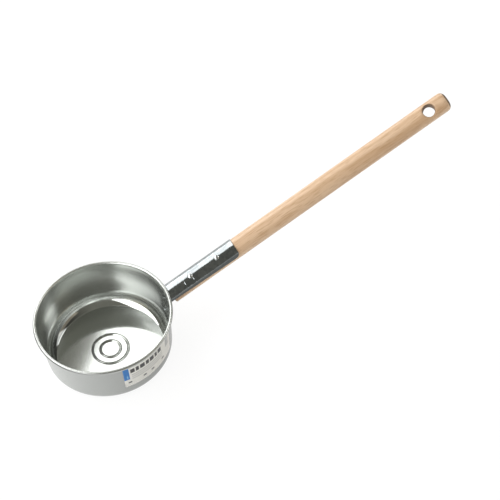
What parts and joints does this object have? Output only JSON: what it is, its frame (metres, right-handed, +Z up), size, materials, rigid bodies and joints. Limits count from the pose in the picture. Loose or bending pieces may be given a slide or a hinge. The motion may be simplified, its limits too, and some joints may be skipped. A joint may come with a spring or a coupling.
{
  "type": "water ladle",
  "caption": "Round galvanised steel dipping pan with a curled rim, a riveted sheet socket and a long rising round wooden handle with a hang hole.",
  "frame": {"origin": "centre of the pan's flat underside", "axes": "+Z up along the pan's axis, +X level in the direction in which the handle leaves the pan, +Y to the left of the handle"},
  "size_m": [0.5027, 0.15, 0.16],
  "materials": {
    "galvanised_steel": "hot-dip galvanised, semi-bright",
    "nail_steel": "bright zinc plated",
    "pale_wood": "sanded bare",
    "label_paper": "coated paper, satin"
  },
  "bodies": {
    "root": {"pan": "galvanised_steel", "socket": "galvanised_steel", "rivet_1": "galvanised_steel", "rivet_2": "galvanised_steel", "handle": "pale_wood", "nail_1": "nail_steel", "nail_2": "nail_steel", "label": "label_paper"}
  },
  "joints": []
}
